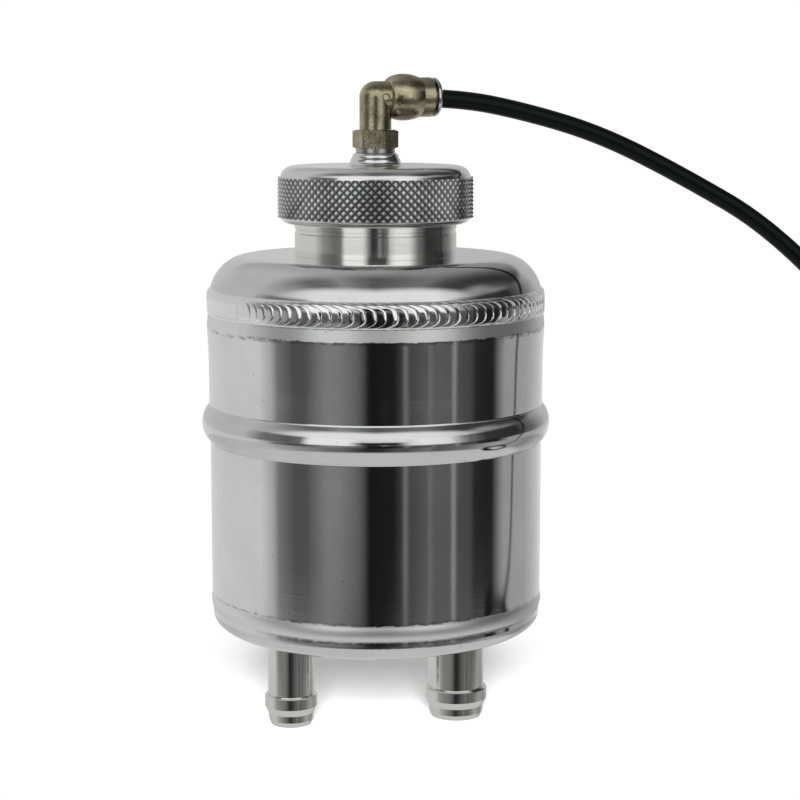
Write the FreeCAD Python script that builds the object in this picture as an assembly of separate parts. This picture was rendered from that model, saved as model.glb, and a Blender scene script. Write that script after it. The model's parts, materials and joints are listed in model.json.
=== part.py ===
import FreeCAD
import Part
import math
import os

# A remote power steering reservoir: a welded aluminium tank on two hose barbs, with a knurled
# filler cap that carries a push-in vent elbow and its tube. Sizes are in millimetres.
# Z is up along the tank's axis, the front is -Y, and z = 0 is the plane that the barbs stand on.

# Tank shell
body_radius = 55.0
lower_radius = 54.7
tank_wall = 2.0
stand_height = 32.6
base_height = 9.4
base_set_in = 0.35
base_corner_width = 10.65
base_corner_height = 6.1
barrel_height = 100.5
dome_set_in = 0.2
dome_height = 14.5
dome_corner_width = 12.5
seat_gap = 0.05

# Rolled bead and the swelling that the shoulder weld leaves in the barrel
bead_middle = 60.3
bead_half_height = 6.0
bead_rise = 2.4
bead_crease_radius = 0.8
swell_rise = 0.5
swell_below_rim = 8.2
swell_length = 18.0

# Shoulder weld: overlapping crescents, drawn from facets
weld_half_width = 4.2
weld_set_in = 0.05
weld_cover = 0.16
ripple_rise = 0.35
ripple_count = 104
ripple_reach_above = 8.2
ripple_reach_below = 5.0
ripple_rows = 8
ripple_step_share = 0.3
weld_lift = 0.05

# Base weld, dressed almost flush, in a groove between barrel and base
base_weld_above = 3.0
base_weld_below = 1.4
base_weld_rise = 0.2
base_weld_groove = 1.3

# Filler neck
neck_radius = 26.5
neck_wall = 3.0
neck_height = 23.2
neck_thread_depth = 0.8
neck_shoulder_drop = 12.0
neck_relief_depth = 0.3
neck_relief_drop = 15.9
neck_relief_height = 1.6
neck_tail = 4.0
neck_flange_width = 3.0
neck_flange_height = 2.0
neck_weld_size = 1.6
edge_chamfer = 0.4

# Filler cap
cap_thread_gap = 0.5
cap_lip_gap = 0.5
cap_lip_height = 1.5
cap_roof = 4.0
cap_skirt = 14.8
cap_past_neck = 4.5
cap_shoulder_width = 4.7
cap_lip_width = 1.0
cap_lip_bevel = 2.1
cap_shoulder_height = 3.7
seal_thickness = 2.0
seal_inset = 0.7
seal_gap = 0.5

# Knurl: a diamond field of low pyramids
knurl_rise = 1.1
knurl_depth = 0.75
knurl_count = 77
knurl_half_rows = 10

# Boss on the cap
boss_height = 4.2
boss_top_radius = 7.6
boss_round = 1.6
boss_foot_radius = 8.1
boss_fillet = 1.9
boss_hole_depth = 5.8

# Vent stud and washer
stud_thread_radius = 4.8
stud_thread_length = 5.2
stud_bore = 2.0
washer_thickness = 1.3
washer_radius = 6.4
hex_across_flats = 13.0
hex_height = 6.0
hex_chamfer = 0.9
hex_turn = -4.6
journal_radius = 3.6
journal_length = 8.8
clip_height = 2.2
clip_section = 0.8
clip_groove_depth = 0.5
o_ring_height = 6.6
o_ring_section = 0.7
running_gap = 0.05

# Push-in elbow
elbow_foot_gap = 0.15
elbow_radius = 5.2
elbow_passage = 2.0
arm_height = 10.5
arm_heading = 21.0
bulge_radius = 7.6
bulge_start = 4.0
bulge_crest = 9.6
bulge_end = 15.1
sleeve_radius = 6.45
sleeve_end = 19.3
dimple_radius = 1.4
dimple_floor = 0.9
dimple_depth = 0.6
dimple_reach = 1.9

# Inside the elbow's sleeve
tube_stop = 9.5
chamber_start = 13.2
chamber_radius = 5.0
tube_seal_start = 10.9
tube_seal_length = 1.8
tube_seal_radius = 4.6
grip_thickness = 0.6
grip_slots = 6
grip_slot_width = 0.8
cartridge_length = 3.3
collar_travel = 0.6
collar_gap = 0.3
collar_radius = 4.0
collar_lip_radius = 4.6
collar_lip_length = 0.8
collar_flange_radius = 6.35
collar_flange_length = 1.7
collar_stop_gap = 0.1

# Vent tube
tube_radius = 3.0
tube_bore = 2.0
tube_end_gap = 0.2
coil_radius = 33.0
coil_turns = 3
coil_centre = (188.0, -28.0)
tube_straight = 19.0

# Hose barbs under the base
port_line = 9.5
feed_reach = 27.4
feed_radius = 9.3
feed_bore = 7.4
return_reach = 29.0
return_radius = 7.65
return_bore = 6.0
barb_rise = 1.1
barb_shoulder = 10.3
barb_land = 3.9
barb_taper = 2.4
barb_nose = 2.3
barb_tip_bevel = 0.9
barb_inside = 3.0
barb_weld_width = 2.0
barb_weld_height = 1.8

# Inside the tank
standpipe_wall = 0.9
standpipe_socket = 5.0
standpipe_top = 20.0
baffle_thickness = 1.5
baffle_below_bead = 8.0
baffle_rim = 6.0
baffle_gap = 0.15
baffle_hole = 4.0
baffle_inner_count = 6
baffle_inner_reach = 13.0
baffle_outer_count = 12
baffle_outer_reach = 38.0
baffle_edge = 2.0

# Heights and radii that follow from the sizes above
foot_z = stand_height + base_height
rim_z = foot_z + barrel_height
dome_z = rim_z + dome_height
neck_z = dome_z + neck_height
ceiling_z = neck_z + seal_thickness
cap_z = ceiling_z + cap_roof
cap_foot_z = ceiling_z - cap_skirt
boss_z = cap_z + boss_height
hex_z = boss_z + washer_thickness
journal_z = hex_z + hex_height
arm_z = journal_z + arm_height
bead_z = foot_z + bead_middle
baffle_z = bead_z - bead_half_height - baffle_below_bead
standpipe_z = bead_z + standpipe_top
dome_radius = body_radius - dome_set_in
weld_radius = body_radius - weld_set_in
neck_bore = neck_radius - neck_wall
neck_thread_radius = neck_radius - neck_thread_depth
cap_bore = neck_thread_radius + cap_thread_gap
cap_lip_radius = neck_radius + cap_lip_gap + cap_lip_width
cap_side_radius = neck_radius + cap_past_neck
cap_top_radius = cap_side_radius - cap_shoulder_width
knurl_radius = cap_side_radius + knurl_rise
feed_place = (feed_reach, port_line)
return_place = (return_reach, port_line + 180.0)
origin = FreeCAD.Vector(0, 0, 0)
up = FreeCAD.Vector(0, 0, 1)


# Outlines lie in the X-Z plane, as pairs of radius and height. A step of an outline is a point,
# ("arc", way point, end), or ("corner", corner point, end) for a quarter of an ellipse.

def flat_point(pair):
    return FreeCAD.Vector(pair[0], 0, pair[1])


def corner_curve(start, corner, end):
    curve = Part.BezierCurve()
    curve.setPoles([start, corner, end])
    curve.setWeight(2, math.sqrt(0.5))
    return curve


def outline(start, *steps):
    edges = []
    here = flat_point(start)
    for step in steps + (start,):
        if step[0] == "arc":
            there = flat_point(step[2])
            edges.append(Part.Arc(here, flat_point(step[1]), there).toShape())
        elif step[0] == "corner":
            there = flat_point(step[2])
            edges.append(corner_curve(here, flat_point(step[1]), there).toShape())
        else:
            there = flat_point(step)
            if there.distanceToPoint(here) > 1e-6:
                edges.append(Part.LineSegment(here, there).toShape())
        here = there
    return Part.Face(Part.Wire(edges))


def turned(start, *steps):
    return outline(start, *steps).revolve(origin, up, 360)


def tube_blank(outer, inner, low, high):
    return turned((inner, low), (outer, low), (outer, high), (inner, high))


def rod(radius, low, high):
    return Part.makeCylinder(radius, high - low, FreeCAD.Vector(0, 0, low))


def moved(shape, place):
    reach, heading = place
    turn = math.radians(heading)
    copy = shape.copy()
    copy.translate(FreeCAD.Vector(reach * math.cos(turn), reach * math.sin(turn), 0))
    return copy


def on_arm(shape):
    """Takes a shape turned about Z, with z as the distance along the arm, to the elbow's arm."""
    copy = shape.copy()
    copy.rotate(origin, FreeCAD.Vector(0, 1, 0), 90)
    copy.rotate(origin, up, arm_heading)
    copy.translate(FreeCAD.Vector(0, 0, arm_z))
    return copy


def round_edges(solid, size, *rings):
    """Fillets the round edges that lie at the given pairs of radius and height."""
    chosen = []
    for edge in solid.Edges:
        if not isinstance(edge.Curve, Part.Circle):
            continue
        for radius, height in rings:
            same_radius = abs(edge.Curve.Radius - radius) < 1e-3
            same_height = abs(edge.Curve.Center.z - height) < 1e-3
            if same_radius and same_height:
                chosen.append(edge)
    return solid.makeFillet(size, chosen)


def faceted_solid(faces):
    shell = Part.makeShell(faces)
    shell.sewShape()
    solid = Part.makeSolid(shell)
    if solid.Volume < 0:
        solid.reverse()
    return solid


def triangle(a, b, c):
    return Part.Face(Part.makePolygon([a, b, c, a]))


def ring_point(radius, turn, height):
    return FreeCAD.Vector(radius * math.cos(turn), radius * math.sin(turn), height)


# Tank

def make_barrel():
    low = bead_z - bead_half_height
    high = bead_z + bead_half_height
    crest = body_radius + bead_rise
    swell_z = rim_z - swell_below_rim
    inner_low = lower_radius - tank_wall
    inner_high = body_radius - tank_wall
    barrel = turned(
        (inner_low, foot_z), (lower_radius - base_weld_groove, foot_z),
        (lower_radius, foot_z + base_weld_groove), (lower_radius, low),
        ("arc", (crest, bead_z), (body_radius, high)),
        (body_radius, swell_z - swell_length),
        ("arc", (body_radius + swell_rise / 4, swell_z - swell_length / 2),
         (body_radius + swell_rise, swell_z)),
        (dome_radius, rim_z), (dome_radius - tank_wall, rim_z),
        (inner_high, swell_z), (inner_high, high),
        ("arc", (crest - tank_wall, bead_z), (inner_low, low)))
    return round_edges(barrel, bead_crease_radius, (lower_radius, low), (body_radius, high))


def make_top_dome():
    hole = neck_radius + seat_gap
    under = dome_z - tank_wall
    flat = dome_radius - dome_corner_width
    inside = dome_radius - tank_wall
    return turned(
        (inside, rim_z), (dome_radius, rim_z),
        ("corner", (dome_radius, dome_z), (flat, dome_z)),
        (hole + edge_chamfer, dome_z), (hole, dome_z - edge_chamfer),
        (hole, under), (flat, under),
        ("corner", (inside, under), (inside, rim_z)))


def make_base_plate():
    top = stand_height + tank_wall
    corner_z = stand_height + base_corner_height
    side = lower_radius - base_set_in
    flat = side - base_corner_width
    inside = lower_radius - tank_wall
    root = lower_radius - base_weld_groove
    plate = turned(
        (0, stand_height), (flat, stand_height),
        ("corner", (side, stand_height), (side, corner_z)),
        (side, foot_z - base_weld_groove + base_set_in), (root, foot_z),
        (inside, foot_z), (inside, corner_z),
        ("corner", (inside, top), (flat, top)), (0, top))
    for radius, place in ((feed_radius, feed_place), (return_radius, return_place)):
        drill = rod(radius + seat_gap, 0, foot_z)
        plate = plate.cut(moved(drill, place))
    return plate


def shell_radius(height):
    """Outside radius of the tank's skin at a height near the shoulder weld."""
    if height < rim_z:
        below = (rim_z - height) / swell_below_rim
        return dome_radius + (body_radius + swell_rise - dome_radius) * min(below, 1.0)
    level = min((height - rim_z) / dome_height, 1.0)
    return dome_radius - dome_corner_width * (1 - math.sqrt(1 - level * level))


def weld_row(row):
    """Height, place from -1 at the lower toe to 1 at the upper one, and backward lean."""
    across = math.sin(math.pi * (row / ripple_rows - 0.5))
    height = rim_z + weld_half_width * across
    if across > 0:
        return height, across, ripple_reach_above * across ** 2
    return height, across, ripple_reach_below * across ** 4


def weld_column(index, before_step):
    """Points across the weld on the near or far side of one crescent's step."""
    pitch = 2 * math.pi / ripple_count
    points = []
    for row in range(ripple_rows + 1):
        height, across, lean = weld_row(row)
        skin = shell_radius(height) + weld_lift
        radius = skin + max(weld_radius - skin, weld_cover) * (1 - across ** 6)
        if before_step:
            radius += ripple_rise * (1 - across ** 2)
        turn = index * pitch - lean / body_radius
        if not before_step:
            turn += ripple_step_share * pitch
        points.append(ring_point(radius, turn, height))
    return points


def weld_back(column):
    """The line behind a column, on the tank's skin, from toe to toe."""
    low, high = column[0], column[-1]
    turn_low = math.atan2(low.y, low.x)
    swing = (math.atan2(high.y, high.x) - turn_low + math.pi) % (2 * math.pi) - math.pi
    points = [low]
    for share in (0.5, 0.75):
        height = low.z + (high.z - low.z) * share
        radius = shell_radius(height) + weld_lift
        points.append(ring_point(radius, turn_low + swing * share, height))
    return points + [high]


def strip(left, right):
    """Triangles between two lines of points of the same count."""
    faces = []
    for a, b, c, d in zip(left, right, right[1:], left[1:]):
        faces.append(triangle(a, b, c))
        faces.append(triangle(a, c, d))
    return faces


def make_shoulder_weld():
    columns = []
    for index in range(ripple_count):
        columns.append(weld_column(index, True))
        columns.append(weld_column(index, False))
    faces = []
    for left, right in zip(columns, columns[1:] + columns[:1]):
        faces += strip(left, right)
        faces += strip(weld_back(right), weld_back(left))
    return faceted_solid(faces)


def make_base_weld():
    low = foot_z - base_weld_below
    high = foot_z + base_weld_above
    side = lower_radius - base_set_in
    root = lower_radius - base_weld_groove
    crown = (lower_radius + base_weld_rise, (low + high) / 2)
    return turned(
        (root, foot_z), (side, foot_z - base_weld_groove + base_set_in), (side, low),
        ("arc", crown, (lower_radius, high)), (lower_radius, foot_z + base_weld_groove))


# Filler neck

def make_filler_neck():
    under = dome_z - tank_wall
    flange = neck_radius + neck_flange_width
    shoulder_z = neck_z - neck_shoulder_drop
    relief_z = neck_z - neck_relief_drop
    relief_top = relief_z + neck_relief_height
    relief = neck_radius - neck_relief_depth
    tail_z = under - neck_flange_height - neck_tail
    return turned(
        (neck_bore, tail_z), (neck_radius - edge_chamfer, tail_z),
        (neck_radius, tail_z + edge_chamfer),
        (neck_radius, under - neck_flange_height), (flange, under - neck_flange_height),
        (flange, under), (neck_radius, under), (neck_radius, relief_z),
        (relief, relief_z + neck_relief_depth), (relief, relief_top - neck_relief_depth),
        (neck_radius, relief_top), (neck_radius, shoulder_z - edge_chamfer),
        (neck_radius - edge_chamfer, shoulder_z), (neck_thread_radius, shoulder_z),
        (neck_thread_radius, neck_z - edge_chamfer),
        (neck_thread_radius - edge_chamfer, neck_z), (neck_bore + edge_chamfer, neck_z),
        (neck_bore, neck_z - edge_chamfer))


def make_neck_weld():
    under = dome_z - tank_wall
    flange = neck_radius + neck_flange_width
    middle = neck_weld_size * 0.4
    return turned(
        (flange, under), (flange, under - neck_weld_size),
        ("arc", (flange + middle, under - middle), (flange + neck_weld_size, under)))


# Filler cap

def knurl_point(column, row):
    """One corner of the diamond field; peaks and grooves alternate along each row."""
    low = cap_foot_z + cap_lip_bevel
    high = cap_z - cap_shoulder_height
    turn = math.pi * (column - 0.5) / knurl_count
    height = low + (high - low) * row / knurl_half_rows
    is_peak = (column + row) % 2 == 0
    radius = knurl_radius if is_peak else knurl_radius - knurl_depth
    return ring_point(radius, turn, height)


def knurl_faces():
    faces = []
    for row in range(knurl_half_rows):
        for column in range(2 * knurl_count):
            a = knurl_point(column, row)
            b = knurl_point(column + 1, row)
            c = knurl_point(column + 1, row + 1)
            d = knurl_point(column, row + 1)
            if (column + row) % 2 == 0:
                faces += [triangle(a, b, d), triangle(b, c, d)]
            else:
                faces += [triangle(a, b, c), triangle(a, c, d)]
    return faces


def knurl_rim(row):
    points = [knurl_point(column, row) for column in range(2 * knurl_count)]
    return Part.makePolygon(points + points[:1])


def knurl_shelf(row):
    """Flat ring between the field's edge and the smooth part of the cap."""
    rim = knurl_rim(row)
    height = rim.Vertexes[0].Point.z
    circle = Part.Circle(FreeCAD.Vector(0, 0, height), up, cap_side_radius)
    hole = Part.Wire([circle.toShape()])
    return Part.Face(rim).cut(Part.Face(hole)).Faces[0]


def cap_profile_edges():
    """Open outline of the cap from the knurl's upper shelf, over the top, to the lower one."""
    shelf_high = cap_z - cap_shoulder_height
    shelf_low = cap_foot_z + cap_lip_bevel
    lip_bore = neck_radius + cap_lip_gap
    lip_z = cap_foot_z + cap_lip_height
    hole = stud_thread_radius + seat_gap
    hole_z = boss_z - boss_hole_depth
    hollow = fillet_way(boss_foot_radius, cap_z, boss_fillet)
    steps = [
        ("corner", (cap_side_radius, cap_z), (cap_top_radius, cap_z)),
        (boss_foot_radius + boss_fillet, cap_z),
        ("arc", hollow, (boss_foot_radius, cap_z + boss_fillet)),
        (boss_top_radius, boss_z - boss_round),
        ("corner", (boss_top_radius, boss_z), (boss_top_radius - boss_round, boss_z)),
        (hole, boss_z), (hole, hole_z), (stud_bore, hole_z), (stud_bore, ceiling_z),
        (cap_bore, ceiling_z), (cap_bore, lip_z), (lip_bore, lip_z), (lip_bore, cap_foot_z),
        (cap_lip_radius, cap_foot_z),
        ("corner", (cap_side_radius, cap_foot_z), (cap_side_radius, shelf_low))]
    edges = []
    here = flat_point((cap_side_radius, shelf_high))
    for step in steps:
        if step[0] == "arc":
            there = flat_point(step[2])
            edges.append(Part.Arc(here, flat_point(step[1]), there).toShape())
        elif step[0] == "corner":
            there = flat_point(step[2])
            edges.append(corner_curve(here, flat_point(step[1]), there).toShape())
        else:
            there = flat_point(step)
            edges.append(Part.LineSegment(here, there).toShape())
        here = there
    return edges


def fillet_way(radius, height, size):
    """Middle point of a hollow quarter circle between a wall and a floor."""
    slack = size * (1 - math.sqrt(0.5))
    return (radius + slack, height + slack)


def make_filler_cap():
    faces = [edge.revolve(origin, up, 360) for edge in cap_profile_edges()]
    faces.append(knurl_shelf(0))
    faces.append(knurl_shelf(knurl_half_rows))
    return faceted_solid(faces + knurl_faces())


def make_cap_seal():
    return tube_blank(cap_bore - seal_gap, neck_bore - seal_inset, neck_z, ceiling_z)


# Vent stud

def make_stud_washer():
    return tube_blank(washer_radius, stud_thread_radius + seat_gap, boss_z, hex_z)


def hex_prism():
    reach = hex_across_flats / 2 / math.cos(math.pi / 6)
    corners = []
    for index in range(7):
        turn = math.radians(hex_turn + 60 * index)
        corners.append(ring_point(reach, turn, hex_z))
    prism = Part.Face(Part.makePolygon(corners)).extrude(up * hex_height)
    flat = hex_across_flats / 2
    wide = reach + hex_chamfer
    top = hex_z + hex_height
    shaping = turned(
        (0, hex_z), (flat, hex_z), (wide, hex_z + hex_chamfer),
        (wide, top - hex_chamfer), (flat, top), (0, top))
    return prism.common(shaping)


def make_elbow_stud():
    thread_z = boss_z - stud_thread_length
    clip_z = journal_z + clip_height
    ring_z = journal_z + o_ring_height
    top = journal_z + journal_length
    groove = journal_radius - clip_groove_depth
    ring_groove = journal_radius - o_ring_section
    shaft = turned(
        (0, thread_z), (stud_thread_radius - edge_chamfer, thread_z),
        (stud_thread_radius, thread_z + edge_chamfer), (stud_thread_radius, hex_z),
        (journal_radius, hex_z), (journal_radius, clip_z), (groove, clip_z),
        (groove, clip_z + clip_section), (journal_radius, clip_z + clip_section),
        (journal_radius, ring_z), (ring_groove, ring_z),
        (ring_groove, ring_z + o_ring_section), (journal_radius, ring_z + o_ring_section),
        (journal_radius, top), (0, top))
    stud = shaft.fuse(hex_prism())
    return stud.cut(rod(stud_bore, thread_z, top)).removeSplitter()


def make_swivel_clip():
    low = journal_z + clip_height
    inner = journal_radius - clip_groove_depth
    outer = journal_radius + clip_groove_depth
    return tube_blank(outer, inner, low, low + clip_section)


def make_stud_seal():
    middle = journal_z + o_ring_height + o_ring_section / 2
    radius = o_ring_section / 2
    centre = FreeCAD.Vector(0, 0, middle)
    return Part.makeTorus(journal_radius - radius, radius, centre, up)


# Push-in elbow

def elbow_outside():
    foot = journal_z + elbow_foot_gap
    fall = bulge_radius - sleeve_radius
    upright = rod(elbow_radius, foot, arm_z)
    knee = Part.makeSphere(elbow_radius, FreeCAD.Vector(0, 0, arm_z))
    down_way = (sleeve_radius + fall * 0.62, bulge_end - (bulge_end - bulge_crest) * 0.38)
    arm = turned(
        (0, 0), (elbow_radius, 0), (elbow_radius, bulge_start),
        ("corner", (bulge_radius, bulge_start), (bulge_radius, bulge_crest)),
        ("arc", down_way, (sleeve_radius, bulge_end)),
        (sleeve_radius, sleeve_end - edge_chamfer),
        (sleeve_radius - edge_chamfer, sleeve_end), (0, sleeve_end))
    return upright.fuse([knee, on_arm(arm)])


def elbow_inside():
    foot = journal_z
    bore = journal_radius + running_gap
    clip_z = journal_z + clip_height
    pocket = journal_radius + clip_groove_depth + collar_gap
    pocket_low = clip_z - collar_gap
    pocket_high = clip_z + clip_section + collar_gap
    bore_top = journal_z + journal_length + collar_gap
    upright = turned(
        (0, foot), (bore, foot), (bore, pocket_low), (pocket, pocket_low),
        (pocket, pocket_high), (bore, pocket_high), (bore, bore_top),
        (elbow_passage, bore_top), (elbow_passage, arm_z), (0, arm_z))
    socket = tube_radius + 3 * seat_gap
    seal_end = tube_seal_start + tube_seal_length
    arm = turned(
        (0, 0), (elbow_passage, 0), (elbow_passage, tube_stop), (socket, tube_stop),
        (socket, tube_seal_start), (tube_seal_radius, tube_seal_start),
        (tube_seal_radius, seal_end), (socket, seal_end), (socket, chamber_start),
        (chamber_radius, chamber_start), (chamber_radius, sleeve_end), (0, sleeve_end))
    return upright, on_arm(arm)


def make_elbow_body():
    side = turned(
        (0, elbow_radius - dimple_depth), (dimple_floor, elbow_radius - dimple_depth),
        (dimple_radius, elbow_radius),
        (dimple_radius, elbow_radius + dimple_depth), (0, elbow_radius + dimple_depth))
    side.rotate(origin, FreeCAD.Vector(1, 0, 0), 90)
    side.translate(FreeCAD.Vector(dimple_reach, 0, 0))
    side.rotate(origin, up, arm_heading)
    side.translate(FreeCAD.Vector(0, 0, arm_z))
    upright, arm = elbow_inside()
    return elbow_outside().removeSplitter().cut([upright, arm, side]).removeSplitter()


def make_tube_seal():
    inner = tube_radius + seat_gap
    outer = tube_seal_radius - seat_gap
    low = tube_seal_start + seat_gap
    high = tube_seal_start + tube_seal_length - seat_gap
    belly = (outer - inner) * 0.3
    middle = (low + high) / 2
    ring = turned(
        (inner + belly, low), (outer - belly, low), ("arc", (outer, middle), (outer - belly, high)),
        (inner + belly, high), ("arc", (inner, middle), (inner + belly, low)))
    return on_arm(ring)


def make_grip_ring():
    inner = tube_radius + 2 * seat_gap
    outer = chamber_radius - seat_gap
    ring = tube_blank(outer, inner, chamber_start, chamber_start + grip_thickness)
    reach = (inner + outer) / 2
    slots = []
    for index in range(grip_slots):
        slot = Part.makeBox(reach, grip_slot_width, 3 * grip_thickness)
        slot.translate(FreeCAD.Vector(0, -grip_slot_width / 2, chamber_start - grip_thickness))
        slot.rotate(origin, up, index * 360 / grip_slots)
        slots.append(slot)
    return on_arm(ring.cut(slots))


def make_collar_cartridge():
    inner = collar_radius + collar_gap
    low = sleeve_end - cartridge_length
    return on_arm(tube_blank(chamber_radius, inner, low, sleeve_end))


def make_release_collar():
    bore = tube_radius + collar_gap
    lip_z = sleeve_end - cartridge_length - collar_stop_gap - collar_lip_length
    flange_z = sleeve_end + collar_travel + collar_stop_gap
    face_z = flange_z + collar_flange_length
    round_off = (collar_flange_radius - bore) * 0.5
    collar = turned(
        (bore, lip_z), (collar_lip_radius, lip_z),
        (collar_lip_radius, lip_z + collar_lip_length), (collar_radius, lip_z + collar_lip_length),
        (collar_radius, flange_z), (collar_flange_radius, flange_z),
        (collar_flange_radius, flange_z + collar_flange_length * 0.3),
        ("corner", (collar_flange_radius, face_z), (bore + round_off, face_z)), (bore, face_z))
    return on_arm(collar)


# Vent tube. Its route is picked by hand: straight runs joined by tangent arcs.

def arm_point(reach):
    turn = math.radians(arm_heading)
    return FreeCAD.Vector(reach * math.cos(turn), reach * math.sin(turn), arm_z)


def tube_route():
    first = tube_stop + tube_end_gap
    start = [arm_point(first), arm_point(first + tube_straight)]
    rest = [
        (50.0, 16.5, 203.4), (76.0, 19.8, 195.6), (104.0, 22.0, 181.6), (134.0, 22.5, 164.3),
        (168.0, 23.4, 130.0), (198.0, 24.0, 92.0), (220.0, 24.3, 57.0), (227.0, 24.0, 33.0),
        (227.0, 13.0, 14.0), (227.0, -6.0, 3.0), (227.0, -28.0, 3.0)]
    return start + [FreeCAD.Vector(*point) for point in rest]


def unit(vector):
    return vector * (1 / vector.Length)


def rounded_path(points):
    edges = []
    radii = []
    here = points[0]
    for before, corner, after in zip(points, points[1:], points[2:]):
        back = before - corner
        ahead = after - corner
        cut = 0.45 * min(back.Length, ahead.Length)
        half_turn = (math.pi - back.getAngle(ahead)) / 2
        radius = cut / math.tan(half_turn)
        inward = unit(unit(back) + unit(ahead))
        middle = corner + inward * (radius / math.cos(half_turn) - radius)
        first = corner + unit(back) * cut
        last = corner + unit(ahead) * cut
        edges.append(Part.LineSegment(here, first).toShape())
        edges.append(Part.Arc(first, middle, last).toShape())
        radii.append(round(radius, 1))
        here = last
    edges.append(Part.LineSegment(here, points[-1]).toShape())
    print("bend radii", radii)
    return Part.Wire(edges)


def swept(path, radius):
    start = path.Edges[0]
    heading = start.tangentAt(start.FirstParameter)
    circle = Part.Circle(start.Vertexes[0].Point, heading, radius)
    profile = Part.Wire([circle.toShape()])
    return path.makePipeShell([profile], True, False)


def make_vent_tube_coil():
    """Outer shape of the put-away coil: turns that lie flat, one inside the other."""
    reach = coil_radius + (coil_turns - 1) * tube_radius
    side = math.sin(math.pi / 6) * tube_radius
    valley = math.cos(math.pi / 6) * tube_radius
    shoulder = math.sin(math.pi / 4) * tube_radius
    steps = [(reach, 0), ("arc", (reach + shoulder, tube_radius - shoulder), (reach + tube_radius, tube_radius))]
    for index in range(coil_turns):
        middle = reach - index * 2 * tube_radius
        last = index == coil_turns - 1
        if index > 0:
            steps.append((middle + valley, tube_radius + side))
        end = (middle - tube_radius, tube_radius) if last else (middle - valley, tube_radius + side)
        steps.append(("arc", (middle, 2 * tube_radius), end))
    inner = 2 * coil_radius - reach
    steps.append(("arc", (inner - shoulder, tube_radius - shoulder), (inner, 0)))
    ring = turned(steps[-1][2], *steps)
    ring.translate(FreeCAD.Vector(coil_centre[0], coil_centre[1], 0))
    landing = rounded_path(tube_route()[-4:])
    return ring.cut(swept(landing, tube_radius + seat_gap))


def make_vent_tube():
    path = rounded_path(tube_route())
    tube = swept(path, tube_radius).cut(swept(path, tube_bore))
    section = math.pi * (tube_radius ** 2 - tube_bore ** 2)
    share = tube.Volume / section / path.Length
    print("tube length", round(path.Length, 1), "volume share", round(share, 4))
    return tube


# Hose barbs and their welds

def make_barb(radius, bore, socket_radius, socket_depth):
    """A hose tail with one crest, its nose down on z = 0."""
    crest = radius + barb_rise
    land_z = barb_shoulder - barb_land
    taper_z = land_z - barb_taper
    tip_z = taper_z - barb_nose
    nose = radius - 0.1
    top = stand_height + tank_wall + barb_inside
    return turned(
        (bore + edge_chamfer, 0), (nose - barb_tip_bevel, 0), (nose - 0.2, tip_z),
        (nose, taper_z), (crest, land_z), (crest, barb_shoulder - edge_chamfer),
        (crest - edge_chamfer, barb_shoulder), (radius, barb_shoulder), (radius, top),
        (socket_radius, top), (socket_radius, top - socket_depth), (bore, top - socket_depth),
        (bore, edge_chamfer))


def make_feed_barb():
    return moved(make_barb(feed_radius, feed_bore, feed_bore + edge_chamfer, edge_chamfer), feed_place)


def make_return_barb():
    socket = return_bore + standpipe_wall
    return moved(make_barb(return_radius, return_bore, socket, standpipe_socket), return_place)


def make_barb_weld(radius, place):
    slack = fillet_way(0, 0, 1)[0]
    way = (radius + barb_weld_width * slack, stand_height - barb_weld_height * slack)
    ring = turned(
        (radius, stand_height), (radius, stand_height - barb_weld_height),
        ("arc", way, (radius + barb_weld_width, stand_height)))
    return moved(ring, place)


# Inside the tank

def make_return_standpipe():
    outer = return_bore + standpipe_wall - seat_gap
    low = stand_height + tank_wall + barb_inside - standpipe_socket
    pipe = tube_blank(outer, outer - standpipe_wall, low, standpipe_z)
    knife = Part.makeBox(4 * outer, 4 * outer, 4 * outer)
    knife.translate(FreeCAD.Vector(0, -2 * outer, 0))
    knife.rotate(origin, FreeCAD.Vector(0, 1, 0), -45)
    knife.translate(FreeCAD.Vector(0, 0, standpipe_z - outer))
    knife.rotate(origin, up, 90 + port_line)
    return moved(pipe.cut(knife), return_place)


def make_baffle_plate():
    outer = lower_radius - tank_wall - baffle_gap
    inner = outer - baffle_thickness
    top = baffle_z + baffle_thickness
    plate = turned(
        (0, baffle_z), (inner, baffle_z), (inner, top - baffle_rim), (outer, top - baffle_rim),
        (outer, top - edge_chamfer), (outer - edge_chamfer, top), (0, top))
    pipe_hole = return_bore + standpipe_wall + seat_gap
    drills = [moved(rod(pipe_hole, baffle_z, top), return_place)]
    pipe_turn = math.radians(return_place[1])
    pipe_middle = ring_point(return_reach, pipe_turn, 0)
    rings = ((baffle_inner_count, baffle_inner_reach), (baffle_outer_count, baffle_outer_reach))
    for count, reach in rings:
        for index in range(count):
            turn = pipe_turn + 2 * math.pi * (index + 0.5) / count
            middle = ring_point(reach, turn, 0)
            if middle.distanceToPoint(pipe_middle) > pipe_hole + baffle_hole + baffle_edge:
                place = (reach, math.degrees(turn))
                drills.append(moved(rod(baffle_hole, baffle_z, top), place))
    return plate.cut(drills)


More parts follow.
